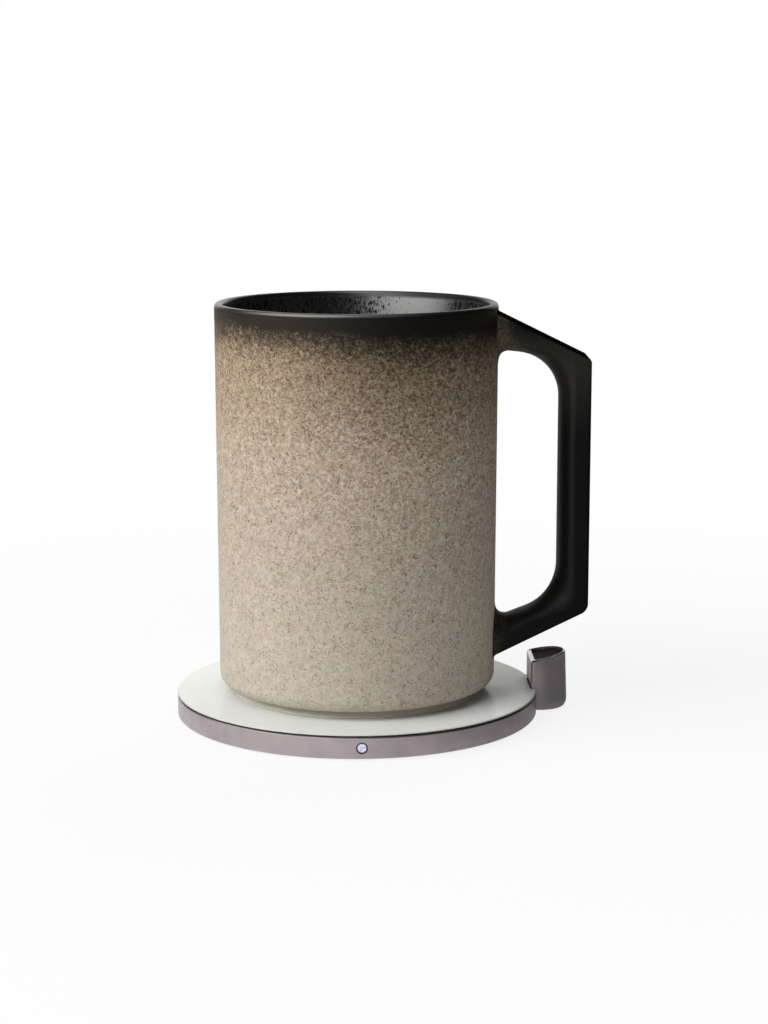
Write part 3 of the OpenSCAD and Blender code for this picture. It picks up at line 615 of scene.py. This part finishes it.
def handle_lines():
    """The handle's outer and inner lines in the X-Z plane, station by station from the upper root to the
    lower. Rows near a root are upright, so that both lines share their X there. The outer line's elbow faces
    the middle third of the window's corner."""
    way = (1, -1)
    arm_rows, turn_rows, grip_rows = 15, 15, 45
    near = np.concatenate((np.linspace(RIM_R - ROOT_DEPTH, RIM_R + ROOT_DEPTH, 22),
                           np.linspace(RIM_R + ROOT_DEPTH + 0.3, RIM_R + ROOT_END, 5)))
    arms, grips = ([], []), ([], [])
    for k in (0, 1):
        wall = wall_r(WINDOW_Z[k])
        slope_out = way[k] * math.tan(ARM_SLOPE)
        slope_in = way[k] * math.tan(WINDOW_SLOPE[k])
        root_out = np.array([wall, ELBOW_Z[k] + slope_out * (GRIP_X - wall)])
        root_in = np.array([wall, WINDOW_Z[k] + slope_in * (WINDOW_X - wall)])
        fade = fillet((wall, WINDOW_Z[1 - k]), root_in, (WINDOW_X, WINDOW_Z[k]), ROOT_ROUND, 40)
        arm_out = np.column_stack((near, root_out[1] - slope_out * (near - wall)))
        arm_in = np.column_stack((near, root_in[1] - slope_in * (near - wall)))
        bent = near < fade[-1, 0]
        arm_in[bent, 1] = np.interp(near[bent], fade[:, 0], fade[:, 1])
        turn_out = fillet(root_out, (GRIP_X, ELBOW_Z[k]), (GRIP_X, ELBOW_Z[1 - k]), ELBOW_ROUND[k],
                          turn_rows)
        turn_in = fillet(root_in, (WINDOW_X, WINDOW_Z[k]), (WINDOW_X, WINDOW_Z[1 - k]), WINDOW_ROUND[k],
                         3 * turn_rows - 2)
        third = turn_rows - 1
        for side, arm, first, turn, last in (
                (0, arm_out, turn_out[:1], turn_out, turn_out[-1:]),
                (1, arm_in, turn_in[:third + 1], turn_in[third:2 * third + 1], turn_in[2 * third:])):
            joined = even(np.concatenate((arm[-1:], first)), arm_rows)
            arms[side].append(np.concatenate((arm, joined, turn)))
            grips[side].append(last)
    return [np.concatenate((upper, even(np.concatenate((down, up[::-1])), grip_rows), lower[::-1]))
            for (upper, lower), (down, up) in zip(arms, grips)]


def glazed_handle():
    """D section carried from the outer line to the inner one: flat face with rounded edges, flat sides, then
    (flat + crown cos t, half sin t). Near the wall it swells by f - sqrt(f^2 - (f - gap)^2), a fillet of
    radius f, the weld."""
    outer, inner = handle_lines()
    across = inner - outer
    depth = np.linalg.norm(across, axis=1)[:, None]
    way = across / depth
    flat_y = HANDLE_HALF - EDGE_ROUND
    corner = arc((EDGE_ROUND, flat_y), EDGE_ROUND, 90, 180, 7)
    side = np.linspace((SIDE_FLAT, HANDLE_HALF), (EDGE_ROUND, HANDLE_HALF), 6)[1:-1]
    face = np.linspace((0, flat_y), (0, -flat_y), 12)[1:-1]
    half = np.concatenate((side, corner))
    rest = np.concatenate((half, face, half[::-1] * (1, -1)))
    t = np.radians(np.linspace(-90, 90, 45))
    d = np.concatenate((SIDE_FLAT + (depth - SIDE_FLAT) * np.cos(t), 0 * depth + rest[:, 0]), axis=1)
    y = 0 * depth + np.concatenate((HANDLE_HALF * np.sin(t), rest[:, 1]))
    ahead_d, ahead_y = np.roll(d, -1, axis=1), np.roll(y, -1, axis=1)
    behind_d, behind_y = np.roll(d, 1, axis=1), np.roll(y, 1, axis=1)
    normal = np.stack((ahead_y - behind_y, behind_d - ahead_d), axis=-1)
    normal /= np.linalg.norm(normal, axis=-1)[..., None]
    x, z = outer[:, :1] + way[:, :1] * d, outer[:, 1:] + way[:, 1:] * d
    gap = np.clip(np.hypot(x, y) - wall_r(z), 0, WELD)
    swell = WELD - np.sqrt(WELD ** 2 - (WELD - gap) ** 2)
    d, y = d + normal[..., 0] * swell, y + normal[..., 1] * swell
    grid = np.stack((outer[:, :1] + way[:, :1] * d, y, outer[:, 1:] + way[:, 1:] * d), axis=-1)
    ends = [np.repeat(grid[k].mean(axis=0)[None], grid.shape[1], axis=0)[None] for k in (0, -1)]
    return np.concatenate((ends[0], grid, ends[1]))


def d_ring(radius, flat, corner):
    """Plan of a D: a half circle about the post's centre, straight sides and a flat with two rounded
    corners."""
    lower = fillet((POST_SIDE, -radius), (flat, -radius), (flat, 0), corner, 7)
    edge = np.linspace((flat, corner - radius), (flat, radius - corner), 13)[1:-1]
    return np.concatenate((arc((POST_SIDE, 0), radius, 90, -90, 49), lower, edge, lower[::-1] * (1, -1)))


def slotted_ring(radius, flat, slot=0.0):
    """The same plan with a slot of half width FACE_SLOT in the flat, as deep as slot where that lies further
    in. Each corner's arc ends at the slot where the slot cuts it."""
    straight = radius - POST_CORNER
    edge = min(FACE_SLOT, straight) if slot <= flat else FACE_SLOT
    end = math.acos(min(1.0, max(0.0, edge - straight) / POST_CORNER))
    a = np.linspace(0, end, 9)
    corner = np.column_stack((flat + POST_CORNER * (1 - np.sin(a)), -straight - POST_CORNER * np.cos(a)))
    mouth = np.array([(corner[-1, 0], -edge), (max(slot, flat), -edge)])
    lower = np.concatenate((corner, mouth))
    floor = np.linspace(lower[-1], lower[-1] * (1, -1), 13)[1:-1]
    return np.concatenate((arc((POST_SIDE, 0), radius, 90, -90, 97), lower, floor, lower[::-1] * (1, -1)))


def flat_ring(ring, z):
    """A plan's points, (u, v), all at one height."""
    return np.column_stack((ring, np.full(len(ring), z)))


def sloped_ring(ring, z):
    """A plan's points on the slope of the post's top, which is z + POST_SLOPE u."""
    return np.column_stack((ring, z + POST_SLOPE * ring[:, 0]))


def in_post(rows):
    """Rows of points (u, v, z) in the pad's frame: u runs outwards from the post's flat face, v sideways."""
    u, v, z = np.moveaxis(np.stack(rows), -1, 0)
    cos, sin = math.cos(POST_FACING), math.sin(POST_FACING)
    return np.stack((POST_X + u * cos - v * sin, POST_Y + u * sin + v * cos, z), axis=-1)


def metal_post():
    """Rows of D rings: rounded foot (sin and cos of 0 to 90 degrees), drafted skin, bevel, sloping top edge,
    the key's well, the throat and the hollow below, back to the foot."""
    rows = []
    for a in np.radians(np.linspace(0, 90, 9)):
        inset = POST_FOOT_IN * (1 - math.sin(a))
        ring = slotted_ring(POST_R - inset, inset, SLOT_DEPTH)
        rows.append(flat_ring(ring, POST_Z + POST_FOOT_UP * (1 - math.cos(a))))
    foot = rows[-1]
    skin = sloped_ring(slotted_ring(POST_TOP_R, 0.0, SLOT_DEPTH), POST_H - POST_BEVEL)
    rows += [foot + (skin - foot) * share for share in np.linspace(0, 1, 9)[1:]]
    bevel = slotted_ring(POST_TOP_R - POST_BEVEL, POST_BEVEL, SLOT_DEPTH)
    well = slotted_ring(WELL_R, WELL_FLAT)
    throat = slotted_ring(THROAT_R, THROAT_FLAT)
    hollow = slotted_ring(CAVITY_R, CAVITY_FLAT)
    rows += [sloped_ring(bevel, POST_H), sloped_ring(well, POST_H), flat_ring(well, WELL_Z),
             flat_ring(throat, WELL_Z), flat_ring(throat, SHELF_Z), flat_ring(hollow, SHELF_Z),
             flat_ring(hollow, POST_Z), rows[0]]
    return in_post(rows)


def power_key():
    """Rows of D rings: stem, skirt, rounded edge (cos and sin of 0 to 90 degrees) and a top that follows the
    post's slope and is dished by KEY_DISH (1 - share^2)."""
    stem = d_ring(STEM_R, STEM_FLAT, KEY_CORNER)
    skirt = d_ring(KEY_R, KEY_FLAT, KEY_CORNER)
    middle = np.array([(KEY_FLAT + POST_SIDE + KEY_R) / 2, 0.0])
    rows = [flat_ring(middle + 0 * stem, STEM_FOOT), flat_ring(stem, STEM_FOOT), flat_ring(stem, KEY_UNDER),
            flat_ring(skirt, KEY_UNDER)]
    for a in np.radians(np.linspace(0, 90, 6)):
        inset = KEY_EDGE * (1 - math.cos(a))
        ring = d_ring(KEY_R - inset, KEY_FLAT + inset, KEY_CORNER)
        rows.append(sloped_ring(ring, KEY_LOW_TOP - KEY_EDGE * (1 - math.sin(a))))
    top = d_ring(KEY_R - KEY_EDGE, KEY_FLAT + KEY_EDGE, KEY_CORNER)
    for share in np.linspace(0.9, 0.0, 9):
        rows.append(sloped_ring(middle + (top - middle) * share, KEY_LOW_TOP - KEY_DISH * (1 - share ** 2)))
    return in_post(rows)


def along_led(profile, count):
    """Profile (r, s) turned about the indicator's radial line, s measured outwards from the pad's axis."""
    t = np.arange(count) * (2 * np.pi / count)
    r, s = profile[:, :1], profile[:, 1:]
    across, up = r * np.cos(t), LED_Z + r * np.sin(t)
    cos, sin = math.cos(LED_AZ), math.sin(LED_AZ)
    return np.stack((s * cos - across * sin, s * sin + across * cos, up), axis=-1)


def lens_dome():
    """Light pipe with a domed face: s = edge + LENS_DOME (1 - (r / R)^2)."""
    back = PAD_R - LENS_LEN
    edge = PAD_R - LENS_SET_IN
    r = np.linspace(LENS_R - LENS_EDGE, 0, 9)
    face = np.column_stack((r, edge + LENS_DOME * (1 - (r / LENS_R) ** 2)))
    stem = np.array([(0, back), (LENS_R, back), (LENS_R, edge - LENS_EDGE)])
    return along_led(np.concatenate((stem, face)), 64)


def bezel_ring():
    """Ring about the lens, with a front lip that is half an ellipse across."""
    inner, back = LENS_R + BEZEL_ROOM, PAD_R - BEZEL_LEN
    middle, half = (inner + BEZEL_R) / 2, (BEZEL_R - inner) / 2
    lip = arc((0, 0), half, 0, 180, 13) * (1, BEZEL_FLATNESS) + (middle, PAD_R - half * BEZEL_FLATNESS)
    return along_led(np.concatenate(([(inner, back), (BEZEL_R, back)], lip, [(inner, back)])), 64)


piece("stoneware_body", stoneware_body(), "mug", FINISHES["stoneware"], "stoneware", "mug_body", sharp=50)
piece("base_foot", base_foot(), "mug", FINISHES["foot_grey"], "foot_grey", "base_cap")
piece("glazed_handle", glazed_handle(), "mug", FINISHES["black_glaze"], "black_glaze", "mug_handle", sharp=50)
piece("metal_post", metal_post(), "pad", FINISHES["mauve_metal"], "mauve_metal", "post_shell", sharp=25)
piece("power_key", power_key(), "key", FINISHES["dark_key"], "dark_key", "power_button")
piece("lens_dome", lens_dome(), "pad", FINISHES["lens"], "lens", "led_lens")
piece("bezel_ring", bezel_ring(), "pad", FINISHES["indigo_ring"], "indigo_ring", "led_bezel")

for row in frame["record"]["subparts"]:
    for held in frame["nodes"][row["node"]].material_slots:
        held.material = FINISHES[row["material_slot"]].material


# Stage, in metres and watts

# A bright side of the room: its direction, the two cosines to it between which the room brightens, and the
# strengths before and after
SOFT_BACK = ((-0.35, 0.90, 0.25), 0.0, 0.9, 0.072, 0.288)
MIRRORED = (((-0.74, -0.67, 0.0), 0.6, 1.0, 0.015, 1.6),
            ((-0.69, -0.40, 0.6), 0.8, 0.97, 0.015, 1.6),
            ((-0.50, -0.20, 0.84), 0.7, 0.95, 0.015, 1.2),
            ((0.0, 1.0, 0.15), 0.8, 0.97, 0.015, 0.9))

# The floor's half width, and the distances in millimetres between which it goes over to white
FLOOR_HALF = 3.0
FLOOR_NEAR = 90.0
FLOOR_FAR = 420.0

# Area lamps: place, target, width, height and power
LAMPS = {
    "window": ((-0.88, -0.46, 0.82), (0.0, 0.0, 0.06), 1.1, 0.9, 18.2),
    "low_front": ((-0.35, -1.25, 0.12), (0.0, 0.0, 0.02), 1.0, 0.22, 1.6),
    "overhead": ((-0.15, -0.30, 1.4), (0.0, 0.0, 0.06), 1.0, 1.0, 3.4),
    "back_right": ((0.35, 0.70, 0.95), (0.0, 0.0, 0.02), 0.6, 0.6, 3.8),
}

# Camera fitted to the photograph: place, pitch and turn in radians, lens and sensor in millimetres
VIEW_PLACE = (0.00293, -0.65149, 0.17745)
VIEW_DOWN = 0.1784
VIEW_TURN = -0.0077
VIEW_LENS = 79.38
VIEW_SENSOR = 36.0


def studio_world():
    """White to the eye. Reflections show bright sides with dark between, and other rays find soft light that
    comes mostly from the back."""
    world = bpy.data.worlds.new("studio")
    world.use_nodes = True
    room = Nodes(world.node_tree)
    ray = room.node("TexCoord", {}, {}, "Generated")
    soft, *bright = (room.vector("DOT_PRODUCT", ray, side, output="Value").above(*strengths)
                     for side, *strengths in (SOFT_BACK, *MIRRORED))
    mirror = bright[0]
    for more in bright[1:]:
        mirror = mirror.at_least(more)
    light, shown, whole = (room.node("Background", {}, {"Color": WHITE, "Strength": strength})
                           for strength in (soft, mirror, 1.0))
    path = room.node("LightPath", {}, {})
    glossy, through, seen = room.outputs(path, "Is Glossy Ray", "Is Transmission Ray", "Is Camera Ray")
    for kind, shade in ((glossy, shown), (through, whole), (seen, whole)):
        light = room.node("MixShader", {}, {0: kind, 1: light, 2: shade})
    room.feed(room.tree.nodes["World Output"].inputs["Surface"], light)
    bpy.context.scene.world = world


def pale_floor():
    """Plain pale floor with the object's shadow, which goes over to white further out. Reflections show it
    without the shadow, dimmer towards the handle's side and far to the other side."""
    mesh = bpy.data.meshes.new("floor")
    corner = np.array([(-1, -1, 0), (1, -1, 0), (1, 1, 0), (-1, 1, 0)]) * FLOOR_HALF
    mesh.from_pydata(corner.tolist(), [], [(0, 1, 2, 3)])
    floor = bpy.data.objects.new("floor", mesh)
    bpy.context.scene.collection.objects.link(floor)
    matt = Finish("pale_floor", base_color=paint(228, 228, 228), roughness=0.9, specular_ior_level=0.0)
    x, _, _ = matt.xyz()
    path = matt.node("LightPath", {}, {})
    glossy, through, seen = matt.outputs(path, "Is Glossy Ray", "Is Transmission Ray", "Is Camera Ray")
    mirrored = glossy.at_least(through)
    away = matt.radius().above(FLOOR_NEAR, FLOOR_FAR)
    shown = (seen * (0.85 + away * 0.15)).at_least(mirrored)
    fall = 0.2 + x.above(-10.0, 85.0) * 0.65 + (1.0 - x.above(-160.0, -40.0)) * 0.15
    glow = matt.node("Emission", {}, {"Color": WHITE, "Strength": 1.0 - mirrored * fall})
    blend = matt.node("MixShader", {}, {0: shown, 1: Value(matt, matt.shader.outputs[0]), 2: glow})
    matt.feed(matt.tree.nodes["Material Output"].inputs["Surface"], blend)
    mesh.materials.append(matt.material)


def soft_lamp(name, place, target, width, height, power):
    """Rectangular area lamp that faces the target and that no reflection shows."""
    lamp = bpy.data.lights.new(name, "AREA")
    lamp.shape = "RECTANGLE"
    lamp.size, lamp.size_y = width, height
    lamp.energy = power
    made = bpy.data.objects.new(name, lamp)
    bpy.context.scene.collection.objects.link(made)
    made.visible_glossy = False
    made.location = place
    x, y, z = np.array(target) - np.array(place)
    made.rotation_euler = (math.atan2(math.hypot(x, y), -z), 0, math.atan2(y, x) - math.pi / 2)


def photo_camera():
    """The photograph's viewpoint, level sideways and looking a little down."""
    data = bpy.data.cameras.new("photo_view")
    data.lens, data.sensor_width = VIEW_LENS, VIEW_SENSOR
    camera = bpy.data.objects.new("photo_view", data)
    bpy.context.scene.collection.objects.link(camera)
    camera.location = VIEW_PLACE
    camera.rotation_euler = (math.pi / 2 - VIEW_DOWN, 0, VIEW_TURN)
    bpy.context.scene.camera = camera


studio_world()
pale_floor()
for lamp_name, lamp_sizes in LAMPS.items():
    soft_lamp(lamp_name, *lamp_sizes)
photo_camera()
bpy.context.scene.view_settings.view_transform = "Standard"
